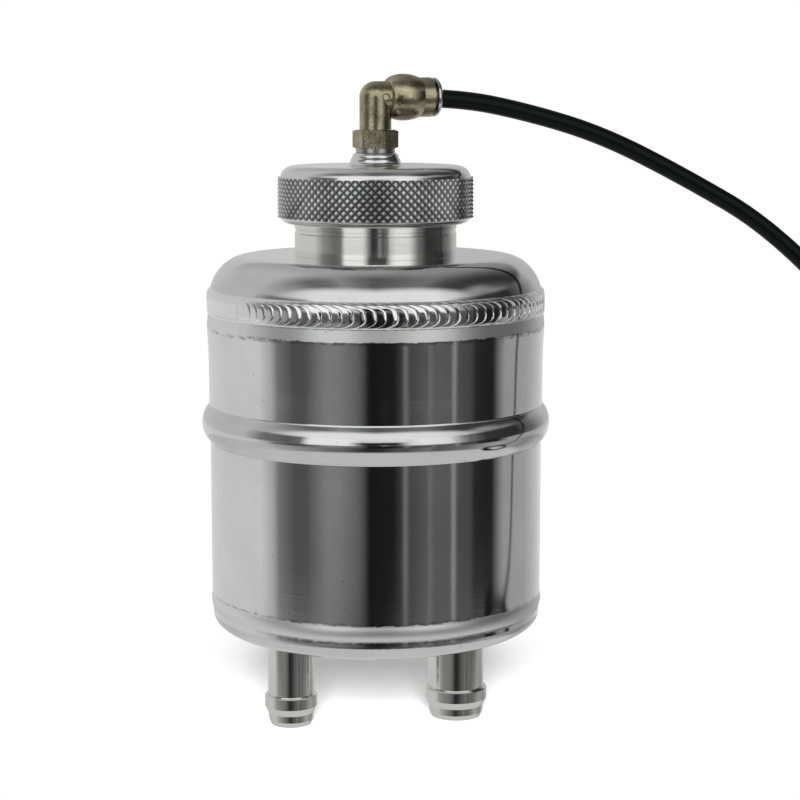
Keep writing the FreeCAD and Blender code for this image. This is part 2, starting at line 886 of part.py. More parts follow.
def main():
    nodes = {
        "barrel": make_barrel(),
        "top_dome": make_top_dome(),
        "base_plate": make_base_plate(),
        "shoulder_weld": make_shoulder_weld(),
        "base_weld": make_base_weld(),
        "filler_neck": make_filler_neck(),
        "neck_weld": make_neck_weld(),
        "feed_barb": make_feed_barb(),
        "feed_barb_weld": make_barb_weld(feed_radius, feed_place),
        "return_barb": make_return_barb(),
        "return_barb_weld": make_barb_weld(return_radius, return_place),
        "return_standpipe": make_return_standpipe(),
        "baffle_plate": make_baffle_plate(),
        "cap_seal": make_cap_seal(),
        "filler_cap": make_filler_cap(),
        "stud_washer": make_stud_washer(),
        "elbow_stud": make_elbow_stud(),
        "swivel_clip": make_swivel_clip(),
        "stud_seal": make_stud_seal(),
        "elbow_body": make_elbow_body(),
        "tube_seal": make_tube_seal(),
        "grip_ring": make_grip_ring(),
        "collar_cartridge": make_collar_cartridge(),
        "release_collar": make_release_collar(),
        "vent_tube": make_vent_tube(),
        "vent_tube_coil": make_vent_tube_coil(),
    }
    os.makedirs("parts", exist_ok=True)
    for name, shape in nodes.items():
        if not shape.isValid() or len(shape.Solids) != 1:
            print("look at", name, shape.isValid(), len(shape.Solids))
        shape.exportStep("parts/" + name + ".step")


main()
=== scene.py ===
import json
import math
import random

import bpy
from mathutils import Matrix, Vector


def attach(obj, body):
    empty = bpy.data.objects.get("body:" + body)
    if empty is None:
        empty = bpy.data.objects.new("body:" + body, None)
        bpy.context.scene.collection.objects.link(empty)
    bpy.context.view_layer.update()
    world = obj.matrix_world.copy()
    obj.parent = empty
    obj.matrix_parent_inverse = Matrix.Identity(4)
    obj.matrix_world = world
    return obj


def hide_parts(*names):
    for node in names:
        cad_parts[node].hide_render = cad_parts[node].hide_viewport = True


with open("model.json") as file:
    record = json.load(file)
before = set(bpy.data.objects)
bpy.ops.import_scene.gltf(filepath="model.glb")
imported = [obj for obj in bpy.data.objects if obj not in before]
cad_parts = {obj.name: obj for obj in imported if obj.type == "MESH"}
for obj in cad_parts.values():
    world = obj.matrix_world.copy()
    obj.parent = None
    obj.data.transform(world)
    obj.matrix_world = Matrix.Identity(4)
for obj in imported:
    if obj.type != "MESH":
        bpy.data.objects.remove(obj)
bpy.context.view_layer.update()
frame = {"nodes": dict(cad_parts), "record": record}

# Looks of the power steering reservoir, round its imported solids.
# Sizes are in metres, as in the solids. The tank's axis is Z and the front is -Y.

# Camera, at the photograph's viewing angle
LENS_MM = 97.65
SENSOR_MM = 36.0
CAMERA_PLACE = (0.0, -0.712, 0.2118)
CAMERA_DIP = math.radians(8.2336)
CAMERA_TURN = math.radians(-0.644)
CAMERA_REACH = 20.0

# Vent tube. Reaches along the elbow's arm start at the tank's axis.
ARM_HEADING = math.radians(21.0)
ARM_Z = 0.208
TUBE_RADIUS = 0.003
TUBE_STRAIGHT_REACHES = (0.0097, 0.0287)
TUBE_ROUTE_MM = [
    (50.0, 16.5, 203.4), (76.0, 19.8, 195.6), (104.0, 22.0, 181.6), (134.0, 22.5, 164.3),
    (168.0, 23.4, 130.0), (198.0, 24.0, 92.0), (220.0, 24.3, 57.0), (227.0, 24.0, 33.0),
    (227.0, 13.0, 14.0), (227.0, -6.0, 3.0)]
COIL_CENTRE = (0.188, -0.028)
COIL_TURNS = 2.5
COIL_START_RADIUS = 0.0395
COIL_POINTS_A_TURN = 16

# Skin of the tank at the shoulder weld
RIM_Z = 0.1425
BODY_RADIUS = 0.055
DOME_RADIUS = 0.0548
DOME_CORNER_WIDTH = 0.0125
DOME_HEIGHT = 0.0145
SWELL_RISE = 0.0005
SWELL_BELOW_RIM = 0.0082

# Band of the shoulder weld, from toe to toe
WELD_HALF_WIDTH = 0.0042
WELD_RADIUS = 0.05516
WELD_COVER = 0.00004
WELD_LIFT = 0.00005
WELD_SINK = 0.00025
WELD_ROWS = 26
WELD_BACK_SHARE = 0.985
CROWN_POWER_ABOVE = 7
CROWN_POWER_BELOW = 6

# Crescents on the band. Shares run along one crescent, from 0 to 1.
RIPPLE_COUNT = 104
RIPPLE_SEED = 5
RIPPLE_RISE = 0.00034
RIPPLE_SHARES = (0.0, 0.015, 0.03, 0.05, 0.07, 0.30, 0.54, 0.60, 0.68, 0.78, 0.88, 0.97)
RIPPLE_STEP = 0.05
RIPPLE_FLAT = 0.60
RIPPLE_DEPTH = 0.8
RIPPLE_LOW_DEPTH = 0.15
RIPPLE_REACH_ABOVE = 0.0082
RIPPLE_REACH_BELOW = 0.005
RIPPLE_SHIFT = 0.09
RIPPLE_RISE_SPREAD = (0.8, 1.15)
RIPPLE_CREST_SPREAD = (-0.48, -0.18)
RIPPLE_CREST_SLANT = 0.2
RIPPLE_FADE = (math.radians(-180), math.radians(-130))
RIPPLE_FADE_DEPTH = 0.90

# Threads of the neck and the cap
THREAD_PITCH = 0.003
THREAD_TURNS = 3.0
THREAD_HEIGHT = 0.0004
THREAD_HALF_WIDTH = 0.00075
THREAD_FLAT_SHARE = 0.15
THREAD_SINK = 0.0001
THREAD_STEPS_A_TURN = 96
THREAD_RUN_OUT = 16
THREAD_LEAST_GROWTH = 0.02
NECK_THREAD_RADIUS = 0.0257
NECK_THREAD_LOW = 0.1695
CAP_BORE = 0.0262
CAP_THREAD_LOW = 0.171

# Spans of height where the tank's metal is dressed, dirty or crossed by a line of painted shade
UPPER_DRESSED = (0.1343, 0.1405)
UPPER_TOE = (0.1334, 0.1343)
UPPER_SHADE_LINE = (0.1386, 0.1391)
LOWER_DRESSED = (0.0400, 0.0455)
LOWER_TOE = (0.0455, 0.0461)
LOWER_GROOVE_SHADE = (0.0401, 0.0408)

# The lines of painted shade fade in between these distances from the plane of the tank's two sides
SHADE_LINE_FADE = (0.038, 0.050)

# Other places and values that the materials follow
BASE_WELD_TOP = 0.06
KNURL_ROOT = 0.0310
KNURL_TIP = 0.0322
UNROLLED_RADIUS = 0.02
POLISH_TURN = 0.25

# Table top, and the patch of it that shows a shadow
TABLE_X = (-0.32, 0.32)
TABLE_Y = (-0.13, 0.75)
SHADOW_CENTRE = (0.0, 0.055, 0.0)
SHADOW_SIZE = (0.080, 0.110, 1.0)
SHADOW_FADE = (0.45, 1.0)
SHADOW_LIGHTEST = 0.18

# Lamp
LAMP_PLACE = (0.0, -2.0, 0.85)
LAMP_AIM = (0.0, 0.0, 0.05)
LAMP_SIZE = (0.8, 0.5)
LAMP_POWER = 150.0


# Objects and meshes

def add_object(name, data):
    thing = bpy.data.objects.new(name, data)
    bpy.context.scene.collection.objects.link(thing)
    return thing


def make_mesh(name, points, faces):
    data = bpy.data.meshes.new(name)
    data.from_pydata(points, [], faces)
    data.polygons.foreach_set("use_smooth", [True] * len(faces))
    data.update()
    return add_object(name, data)


def grid_faces(columns, rows, closed):
    """Quads between neighbouring columns of points; each column is a closed loop of rows."""
    faces = []
    last = columns if closed else columns - 1
    for column in range(last):
        here = column * rows
        there = (column + 1) % columns * rows
        for row in range(rows):
            after = (row + 1) % rows
            faces.append((here + row, there + row, there + after, here + after))
    return faces


# Camera

def make_camera():
    data = bpy.data.cameras.new("camera")
    data.lens = LENS_MM
    data.sensor_width = SENSOR_MM
    data.clip_end = CAMERA_REACH
    camera = add_object("camera", data)
    camera.location = CAMERA_PLACE
    camera.rotation_euler = (math.pi / 2 - CAMERA_DIP, 0.0, CAMERA_TURN)
    bpy.context.scene.camera = camera


# Vent tube: the same route as the solid, then the put-away coil

def arm_point(reach):
    return Vector((reach * math.cos(ARM_HEADING), reach * math.sin(ARM_HEADING), ARM_Z))


def coil_points():
    """A flat spiral, wound inwards. Its control points lie a little outside the curve."""
    step = 2 * math.pi / COIL_POINTS_A_TURN
    points = []
    for index in range(int(COIL_TURNS * COIL_POINTS_A_TURN)):
        turn = -step * (index + 0.5)
        radius = (COIL_START_RADIUS + TUBE_RADIUS * turn / math.pi) / math.cos(step / 2)
        x = COIL_CENTRE[0] + radius * math.cos(turn)
        y = COIL_CENTRE[1] + radius * math.sin(turn)
        points.append(Vector((x, y, TUBE_RADIUS)))
    return points


def make_vent_line(material):
    points = [arm_point(reach) for reach in TUBE_STRAIGHT_REACHES]
    points += [Vector(point) / 1000 for point in TUBE_ROUTE_MM]
    points += coil_points()
    data = bpy.data.curves.new("vent_line", "CURVE")
    data.dimensions = "3D"
    data.bevel_depth = TUBE_RADIUS
    data.bevel_resolution = 8
    data.resolution_u = 12
    data.use_fill_caps = True
    spline = data.splines.new("NURBS")
    spline.points.add(len(points) - 1)
    for spot, point in zip(spline.points, points):
        spot.co = (point.x, point.y, point.z, 1.0)
    spline.order_u = 3
    spline.use_endpoint_u = True
    data.materials.append(material)
    vent_line = add_object("vent_line", data)
    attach(vent_line, "elbow")
    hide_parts("vent_tube", "vent_tube_coil")


# Shoulder weld: overlapping crescents, smooth where the solid has facets

def skin_radius(height):
    """Outside radius of the tank's skin at a height near the shoulder weld."""
    if height < RIM_Z:
        below = min((RIM_Z - height) / SWELL_BELOW_RIM, 1.0)
        return DOME_RADIUS + (BODY_RADIUS + SWELL_RISE - DOME_RADIUS) * below
    level = (height - RIM_Z) / DOME_HEIGHT
    return DOME_RADIUS - DOME_CORNER_WIDTH * (1 - math.sqrt(1 - level * level))


def ripple_profile(share, across):
    """Height of one crescent along the weld, from 0 to 1: steep up, flat, rounded down."""
    if share < RIPPLE_STEP:
        return math.sin(math.pi / 2 * share / RIPPLE_STEP)
    if share < RIPPLE_FLAT:
        return 1.0
    fall = (share - RIPPLE_FLAT) / (1.0 - RIPPLE_FLAT)
    depth = min(1.0, max(RIPPLE_LOW_DEPTH, RIPPLE_DEPTH + across))
    return 1.0 - depth * fall * fall


def weld_loop(turn, share, rise, crest):
    """One closed loop across the weld: the outside from toe to toe, then the hidden back."""
    points = []
    for row in range(WELD_ROWS + 1):
        across = math.sin(math.pi * (row / WELD_ROWS - 0.5))
        height = RIM_Z + WELD_HALF_WIDTH * across
        skin = skin_radius(height) + WELD_LIFT
        if across > 0:
            lean = RIPPLE_REACH_ABOVE * across ** 3
        else:
            lean = RIPPLE_REACH_BELOW * across ** 4
        if across > crest:
            level = (across - crest) / (1 - crest)
            crown = 1 - level ** CROWN_POWER_ABOVE
            skin -= WELD_SINK * level
        else:
            crown = 1 - ((across - crest) / (1 + crest)) ** CROWN_POWER_BELOW
        cover = max(WELD_RADIUS - skin, WELD_COVER)
        radius = skin + crown * (cover + rise * ripple_profile(share, across))
        angle = turn - lean / BODY_RADIUS
        points.append((radius * math.cos(angle), radius * math.sin(angle), height))
    for x, y, height in (points[-1], points[0]):
        points.append((x * WELD_BACK_SHARE, y * WELD_BACK_SHARE, height))
    return points


def ripple_share(turn):
    """Share of its rise that a crescent keeps: at the left, within RIPPLE_FADE, it is dressed down."""
    start, full = RIPPLE_FADE
    angle = (turn + math.pi) % (2 * math.pi) - math.pi
    middle = (start + full) / 2
    half = (full - start) / 2
    depth = max(0.0, 1.0 - abs((angle - middle) / half))
    return 1.0 - RIPPLE_FADE_DEPTH * min(1.0, 2.0 * depth)


def make_weld(material):
    dice = random.Random(RIPPLE_SEED)
    pitch = 2 * math.pi / RIPPLE_COUNT
    points = []
    for index in range(RIPPLE_COUNT):
        start = index + dice.uniform(-RIPPLE_SHIFT, RIPPLE_SHIFT)
        rise = RIPPLE_RISE * dice.uniform(*RIPPLE_RISE_SPREAD) * ripple_share(start * pitch)
        crest = dice.uniform(*RIPPLE_CREST_SPREAD)
        for share in RIPPLE_SHARES:
            slanted = crest - RIPPLE_CREST_SLANT * (share - 0.5)
            points += weld_loop((start + share) * pitch, share, rise, slanted)
    columns = RIPPLE_COUNT * len(RIPPLE_SHARES)
    weld = make_mesh("weld_crescents", points, grid_faces(columns, WELD_ROWS + 3, True))
    weld.data.materials.append(material)
    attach(weld, "tank")
    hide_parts("shoulder_weld")


# Threads: one right-hand ridge on the neck and one in the cap, half a pitch apart

def make_thread(name, root, height, low):
    """A triangular ridge on a helix. A negative height points it to the axis."""
    steps = int(THREAD_TURNS * THREAD_STEPS_A_TURN)
    sink = root - math.copysign(THREAD_SINK, height)
    half = THREAD_HALF_WIDTH
    flat = half * THREAD_FLAT_SHARE
    points = []
    for index in range(steps + 1):
        angle = 2 * math.pi * THREAD_TURNS * index / steps
        level = low + THREAD_PITCH * THREAD_TURNS * index / steps
        growth = min(1.0, index / THREAD_RUN_OUT, (steps - index) / THREAD_RUN_OUT)
        crest = root + height * max(growth, THREAD_LEAST_GROWTH)
        for radius, up in ((sink, -half), (crest, -flat), (crest, flat), (sink, half)):
            points.append((radius * math.cos(angle), radius * math.sin(angle), level + up))
    faces = grid_faces(steps + 1, 4, False)
    end = steps * 4
    faces += [(3, 2, 1, 0), (end, end + 1, end + 2, end + 3)]
    if height < 0:
        faces = [tuple(reversed(face)) for face in faces]
    return make_mesh(name, points, faces)


def make_threads(neck_material, cap_material):
    neck = make_thread("neck_thread", NECK_THREAD_RADIUS, THREAD_HEIGHT, NECK_THREAD_LOW)
    neck.data.materials.append(neck_material)
    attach(neck, "tank")
    cap = make_thread("cap_thread", CAP_BORE, -THREAD_HEIGHT, CAP_THREAD_LOW)
    cap.data.materials.append(cap_material)
    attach(cap, "cap")


# Shader helpers

def new_material(name):
    material = bpy.data.materials.new(name)
    material.use_nodes = True
    tree = material.node_tree
    return material, tree, tree.nodes["Principled BSDF"]


def feed(tree, socket, value):
    """Sets a socket to a number or a colour, or links another node's output to it."""
    if isinstance(value, bpy.types.NodeSocket):
        tree.links.new(value, socket)
    else:
        socket.default_value = value


def maths(tree, operation, first, second=0.0):
    node = tree.nodes.new("ShaderNodeMath")
    node.operation = operation
    feed(tree, node.inputs[0], first)
    feed(tree, node.inputs[1], second)
    return node.outputs[0]


def map_range(tree, value, low, high, kind="LINEAR"):
    """0 where the value is at low, 1 where it is at high, and held outside them."""
    node = tree.nodes.new("ShaderNodeMapRange")
    node.interpolation_type = kind
    feed(tree, node.inputs["Value"], value)
    node.inputs["From Min"].default_value = low
    node.inputs["From Max"].default_value = high
    return node


def between(tree, value, span, edge):
    """1 where the value lies in the span, with soft edges."""
    low, high = span
    rise = map_range(tree, value, low - edge, low + edge)
    fall = map_range(tree, value, high + edge, high - edge)
    return maths(tree, "MULTIPLY", rise.outputs[0], fall.outputs[0])


def ramp(tree, factor, stops):
    """Grey or coloured ramp: stops are pairs of place and value, in rising order."""
    node = tree.nodes.new("ShaderNodeValToRGB")
    elements = node.color_ramp.elements
    elements.remove(elements[1])
    for index, (place, value) in enumerate(stops):
        element = elements[0] if index == 0 else elements.new(place)
        element.position = place
        colour = value if isinstance(value, tuple) else (value, value, value)
        element.color = (*colour, 1.0)
    feed(tree, node.inputs[0], factor)
    return node.outputs[0]


def mix_colour(tree, factor, first, second):
    node = tree.nodes.new("ShaderNodeMix")
    node.data_type = "RGBA"
    feed(tree, node.inputs["Factor"], factor)
    for socket, value in ((node.inputs[6], first), (node.inputs[7], second)):
        if isinstance(value, tuple):
            value = (*value, 1.0)
        feed(tree, socket, value)
    return node.outputs[2]


def mix_value(tree, factor, first, second):
    node = tree.nodes.new("ShaderNodeMix")
    feed(tree, node.inputs["Factor"], factor)
    feed(tree, node.inputs[2], first)
    feed(tree, node.inputs[3], second)
    return node.outputs[0]


def split_vector(tree, vector):
    node = tree.nodes.new("ShaderNodeSeparateXYZ")
    feed(tree, node.inputs[0], vector)
    return node.outputs


def object_place(tree):
    """Object coordinates, and the same split into X, Y and Z."""
    place = tree.nodes.new("ShaderNodeTexCoord").outputs["Object"]
    return place, split_vector(tree, place)


def axis_distance(tree, split):
    square = maths(tree, "ADD", maths(tree, "MULTIPLY", split[0], split[0]),
                   maths(tree, "MULTIPLY", split[1], split[1]))
    return maths(tree, "SQRT", square)


def round_axis(tree, split):
    """Coordinates that unroll a turned piece: way round, radius and height, in metres."""
    join = tree.nodes.new("ShaderNodeCombineXYZ")
    angle = maths(tree, "ARCTAN2", split[0], split[1])
    feed(tree, join.inputs[0], maths(tree, "MULTIPLY", angle, UNROLLED_RADIUS))
    feed(tree, join.inputs[1], axis_distance(tree, split))
    feed(tree, join.inputs[2], split[2])
    return join.outputs[0]


def scaled(tree, place, scale):
    node = tree.nodes.new("ShaderNodeMapping")
    feed(tree, node.inputs["Vector"], place)
    node.inputs["Scale"].default_value = scale
    return node.outputs[0]


def noise(tree, place, scale, detail=3.0, roughness=0.6):
    node = tree.nodes.new("ShaderNodeTexNoise")
    feed(tree, node.inputs["Vector"], place)
    node.inputs["Scale"].default_value = scale
    node.inputs["Detail"].default_value = detail
    node.inputs["Roughness"].default_value = roughness
    return node.outputs[0]


def spread(tree, base, value, reach):
    """The base, and up to the reach more where the value is high."""
    return maths(tree, "ADD", base, maths(tree, "MULTIPLY", value, reach))


def add_bump(tree, shader, height, strength, distance):
    node = tree.nodes.new("ShaderNodeBump")
    node.inputs["Strength"].default_value = strength
    node.inputs["Distance"].default_value = distance
    feed(tree, node.inputs["Height"], height)
    feed(tree, shader.inputs["Normal"], node.outputs[0])


def turn_polish(tree, shader, anisotropic):
    """Draws highlights out across the marks, which run round the piece's axis."""
    tangent = tree.nodes.new("ShaderNodeTangent")
    tangent.direction_type = "RADIAL"
    tangent.axis = "Z"
    feed(tree, shader.inputs["Tangent"], tangent.outputs[0])
    shader.inputs["Anisotropic"].default_value = anisotropic
    shader.inputs["Anisotropic Rotation"].default_value = POLISH_TURN


# Materials

def tank_dirt_and_painted_shade(tree, place, split, rolled, height):
    """Dirt at the toes of the dressed bands, specks, and thin lines of painted shade at the front and
    back: along the groove at the base plate and under the shoulder weld's toe.
    """
    blotch = noise(tree, place, 300.0, 4.0, 0.7)
    patches = ramp(tree, blotch, [(0.42, 0.02), (0.58, 0.60)])
    toes = maths(tree, "MAXIMUM", between(tree, height, UPPER_TOE, 0.0003),
                 between(tree, height, LOWER_TOE, 0.0003))
    toes = maths(tree, "MULTIPLY", toes, patches)
    jagged = noise(tree, scaled(tree, rolled, (1200, 1, 500)), 1.0, 4.0, 0.7)
    sawed = spread(tree, split[2], jagged, 0.0012)
    # Painted shade: a ragged dark line along the groove at the base plate, and a thin dark line under
    # the shoulder weld's toe. Both show only towards the front and back.
    groove_shade_notches = ramp(tree, jagged, [(0.40, 0.06), (0.56, 0.55)])
    painted_groove_shade = maths(tree, "MULTIPLY", between(tree, sawed, LOWER_GROOVE_SHADE, 0.0002), groove_shade_notches)
    painted_toe_shadow = maths(tree, "MULTIPLY", between(tree, sawed, UPPER_SHADE_LINE, 0.0001), 0.55)
    shade_shown = map_range(tree, maths(tree, "ABSOLUTE", split[1]), *SHADE_LINE_FADE).outputs[0]
    painted_shade_lines = maths(tree, "MULTIPLY", maths(tree, "MAXIMUM", painted_groove_shade, painted_toe_shadow), shade_shown)
    specks = ramp(tree, noise(tree, place, 900.0, 2.0, 0.5), [(0.72, 0.0), (0.76, 0.55)])
    return maths(tree, "MAXIMUM", maths(tree, "MAXIMUM", toes, painted_shade_lines), specks)


def tank_metal():
    """Polished aluminium with fine scratches round it and dressed bands at the welds, darkened by dirt
    and by lines of painted shade.
    """
    material, tree, shader = new_material("tank_metal")
    place, split = object_place(tree)
    rolled = round_axis(tree, split)
    ragged = noise(tree, scaled(tree, rolled, (600, 1, 300)), 1.0, 5.0, 0.7)
    height = spread(tree, split[2], maths(tree, "SUBTRACT", ragged, 0.5), 0.0020)
    dressed = maths(tree, "MAXIMUM", between(tree, height, UPPER_DRESSED, 0.0002),
                    between(tree, height, LOWER_DRESSED, 0.0003))
    scratch = noise(tree, scaled(tree, rolled, (25, 20, 9000)), 1.0, 2.0)
    polish = spread(tree, 0.05, scratch, 0.06)
    cloud = noise(tree, place, 45.0)
    colour = ramp(tree, cloud, [(0.3, (0.70, 0.705, 0.70)), (0.7, (0.77, 0.775, 0.77))])
    colour = mix_colour(tree, dressed, colour, (0.86, 0.87, 0.86))
    # Dirt, specks and lines of painted shade, mixed in as a dark colour.
    dirt_and_painted_shade = tank_dirt_and_painted_shade(tree, place, split, rolled, height)
    colour = mix_colour(tree, dirt_and_painted_shade, colour, (0.10, 0.10, 0.095))
    nicks = noise(tree, scaled(tree, place, (900, 60, 1300)), 1.0, 2.0)
    feed(tree, shader.inputs["Base Color"], colour)
    feed(tree, shader.inputs["Roughness"], mix_value(tree, dressed, polish, 0.40))
    add_bump(tree, shader, spread(tree, scratch, nicks, 0.5), 0.07, 0.00005)
    turn_polish(tree, shader, 0.7)
    shader.inputs["Metallic"].default_value = 1.0
    return material


def turned_metal(name, colour, rough, ring_scale):
    """Metal with fine turning marks."""
    material, tree, shader = new_material(name)
    rolled = round_axis(tree, object_place(tree)[1])
    marks = noise(tree, scaled(tree, rolled, (20, ring_scale, ring_scale)), 1.0, 2.0)
    feed(tree, shader.inputs["Roughness"], spread(tree, rough, marks, 0.08))
    add_bump(tree, shader, marks, 0.10, 0.00005)
    turn_polish(tree, shader, 0.5)
    shader.inputs["Base Color"].default_value = (*colour, 1.0)
    shader.inputs["Metallic"].default_value = 1.0
    return material


def cap_metal():
    """Turned metal with painted shade on the flanks and roots of the knurl's diamonds."""
    material = turned_metal("cap_metal", (0.80, 0.80, 0.80), 0.08, 4000)
    tree = material.node_tree
    # Painted shade: the colour darkens with depth between the knurl's tips.
    depth = maths(tree, "SUBTRACT", axis_distance(tree, object_place(tree)[1]), KNURL_ROOT)
    share = maths(tree, "DIVIDE", depth, KNURL_TIP - KNURL_ROOT)
    colour = ramp(tree, share, [(0.0, 0.80), (0.12, 0.80), (0.28, 0.07), (0.50, 0.37), (0.75, 0.80)])
    feed(tree, tree.nodes["Principled BSDF"].inputs["Base Color"], colour)
    return material


def weld_metal():
    """Bright where the weld is left as it is, satin where the base weld has been dressed."""
    material, tree, shader = new_material("weld_metal")
    place, split = object_place(tree)
    grain = noise(tree, place, 900.0, 4.0)
    dressed = maths(tree, "LESS_THAN", split[2], BASE_WELD_TOP)
    bright = spread(tree, 0.03, grain, 0.05)
    feed(tree, shader.inputs["Roughness"], mix_value(tree, dressed, bright, 0.40))
    add_bump(tree, shader, grain, 0.045, 0.0001)
    shader.inputs["Base Color"].default_value = (0.88, 0.88, 0.88, 1.0)
    shader.inputs["Metallic"].default_value = 1.0
    return material


def fitting_metal():
    """Nickel-plated cast brass with a coarse cast skin."""
    material, tree, shader = new_material("fitting_metal")
    place = object_place(tree)[0]
    grain = noise(tree, place, 1400.0, 4.0)
    cast = noise(tree, place, 420.0)
    cloud = noise(tree, place, 220.0)
    colour = ramp(tree, cloud, [(0.3, (0.30, 0.265, 0.16)), (0.7, (0.56, 0.52, 0.36))])
    feed(tree, shader.inputs["Base Color"], colour)
    feed(tree, shader.inputs["Roughness"], spread(tree, 0.14, grain, 0.2))
    add_bump(tree, shader, spread(tree, grain, cast, 1.6), 0.35, 0.00014)
    shader.inputs["Metallic"].default_value = 1.0
    return material


def tube_black():
    """Semi-gloss black, a little uneven."""
    material, tree, shader = new_material("tube_black")
    grain = noise(tree, object_place(tree)[0], 700.0)
    feed(tree, shader.inputs["Roughness"], spread(tree, 0.28, grain, 0.12))
    shader.inputs["Base Color"].default_value = (0.0008, 0.0009, 0.0009, 1.0)
    shader.inputs["Specular IOR Level"].default_value = 0.15
    return material


def plain(name, colour, rough, metallic=0.0):
    """For small pieces that hardly show."""
    material, tree, shader = new_material(name)
    shader.inputs["Base Color"].default_value = (*colour, 1.0)
    shader.inputs["Roughness"].default_value = rough
    shader.inputs["Metallic"].default_value = metallic
    return material


def make_materials():
    """One material for each material slot of the record."""
    return {
        "tank_metal": tank_metal(),
        "weld_metal": weld_metal(),
        "neck_metal": turned_metal("neck_metal", (0.86, 0.86, 0.85), 0.07, 4000),
        "barb_metal": turned_metal("barb_metal", (0.80, 0.80, 0.79), 0.08, 4000),
        "cap_metal": cap_metal(),
        "fitting_metal": fitting_metal(),
        "collar_metal": plain("collar_metal", (0.72, 0.72, 0.70), 0.2, 1.0),
        "washer_metal": turned_metal("washer_metal", (0.50, 0.47, 0.48), 0.22, 3000),
        # Black, so the gap between the sleeve's end and the release collar shows dark.
        "cartridge_black": plain("cartridge_black", (0.003, 0.003, 0.003), 0.25),
        "clip_steel": plain("clip_steel", (0.45, 0.45, 0.46), 0.3, 1.0),
        "seal_rubber": plain("seal_rubber", (0.004, 0.004, 0.004), 0.6),
        "tube_black": tube_black(),
    }


def dress_nodes(materials):
    for entry in frame["record"]["subparts"]:
        data = frame["nodes"][entry["node"]].data
        data.materials.clear()
        data.materials.append(materials[entry["material_slot"]])


# Light by direction. Each list goes once round the object and gives a brightness for each
# compass angle in degrees: 0 is the front, negative is the left.

REAR_LEFT = [(-180, 0.60), (-96, 0.58), (-80, 0.20), (-60, 0.12), (-50, 0.18)]
LEFT_BOX = [(-44, 1.0), (-18, 1.0)]
RIGHT_BOX = [(30, 1.05), (48, 0.95), (55, 0.55)]
REAR_RIGHT = [(62, 0.20), (76, 0.045), (106, 0.03), (125, 0.16), (150, 0.52)]
NECK_GAP = [
    (-9, 0.26), (-5, 0.03), (2, 0.06), (6, 0.45), (9, 0.10), (12, 0.20), (17, 0.22), (20, 0.75)]

FOOT_LEVEL = [
    (-180, 0.62), (-137, 0.56), (-97, 0.60), (-78, 0.55), (-69, 0.42), (-53, 0.33), (-45, 0.27),
    (-30, 0.16), (-24, 0.16), (-9, 0.036), (-3, 0.022), (6, 0.04), (13, 0.09), (20, 0.09),
    (35, 0.20), (42, 0.11), (58, 0.17), (64, 0.18), (84, 0.38), (90, 0.40), (125, 0.26), (150, 0.48)]
FLOOR_LEVEL = [
    (-180, 0.72), (-86, 0.70), (-75, 0.46), (-70, 0.20), (-57, 0.085), (-48, 0.09), (-33, 0.25),
    (-25, 0.23), (-12, 0.14), (-8, 0.08), (-5, 0.010), (12, 0.010), (18, 0.05), (19.8, 0.26),
    (21.6, 0.08), (24, 0.065), (35.5, 0.11), (37, 0.22), (38.5, 0.12), (52.5, 0.11), (54.5, 0.42),
    (56.5, 0.09), (68, 0.07), (71, 0.022), (87, 0.015), (98, 0.37), (125, 0.42), (160, 0.72)]
WELD_LEVEL = [
    (-180, 0.72), (-90, 0.60), (-70, 0.40), (-54, 0.18), (-46, 0.07), (-32, 0.05), (-18, 0.06),
    (-9, 0.03), (-5, 0.006), (20, 0.008), (30, 0.02), (40, 0.035), (52, 0.09), (64, 0.07),
    (74, 0.02), (80, 0.010), (98, 0.012), (108, 0.20), (130, 0.42), (150, 0.55)]
NECK_LEVEL = REAR_LEFT + LEFT_BOX + NECK_GAP + RIGHT_BOX + REAR_RIGHT
HIGH_LEVEL = [
    (-180, 0.60), (-95, 0.58), (-80, 0.45), (-60, 0.76), (-45, 0.94), (45, 0.94), (60, 0.76),
    (72, 0.45), (84, 0.22), (100, 0.05), (110, 0.04), (122, 0.20), (150, 0.55)]

# Overhead the light goes by the direction's X, from 0 at the left to 1 at the right.

OVERHEAD = [
    (0.03, 0.55), (0.09, 0.42), (0.18, 0.26), (0.235, 0.16), (0.30, 0.18), (0.362, 0.30),
    (0.43, 0.19), (0.50, 0.11), (0.57, 0.14), (0.64, 0.18), (0.70, 0.20), (0.765, 0.095),
    (0.82, 0.055), (0.87, 0.06), (0.915, 0.35), (0.95, 0.28), (0.98, 0.03)]
BEHIND = [
    (0.25, 0.56), (0.36, 0.46), (0.43, 0.42), (0.50, 0.36), (0.57, 0.31), (0.64, 0.31),
    (0.70, 0.24), (0.765, 0.11), (0.82, 0.045), (0.87, 0.04), (0.915, 0.09), (0.95, 0.28),
    (0.98, 0.05)]


def front_level(gap):
    """Two soft boxes in front, with a gap of the given brightness between them."""
    return REAR_LEFT + LEFT_BOX + [(-9, gap), (14, gap), (23, 0.85)] + RIGHT_BOX + REAR_RIGHT


# Levels from the ground up. Each one comes in between two values of the direction's Z.

GROUND = (0.62, 0.62, 0.62)
LEVELS = [
    (-0.60, -0.52, FOOT_LEVEL),
    (-0.262, -0.252, FLOOR_LEVEL),
    (-0.120, -0.113, WELD_LEVEL),
    (-0.096, -0.082, NECK_LEVEL),
    (-0.035, -0.015, front_level(0.015)),
    (0.13, 0.21, front_level(0.85))]
HIGH_FROM = (0.34, 0.42)
OVERHEAD_FROM = (math.radians(43), math.radians(57))
OVERHEAD_ROUNDING = 0.30
BEHIND_FROM = (math.radians(84), math.radians(108))


def blend(tree, value, low, high, below, above):
    """One light where the value is under low, and another where it is over high."""
    return mix_colour(tree, map_range(tree, value, low, high).outputs[0], below, above)


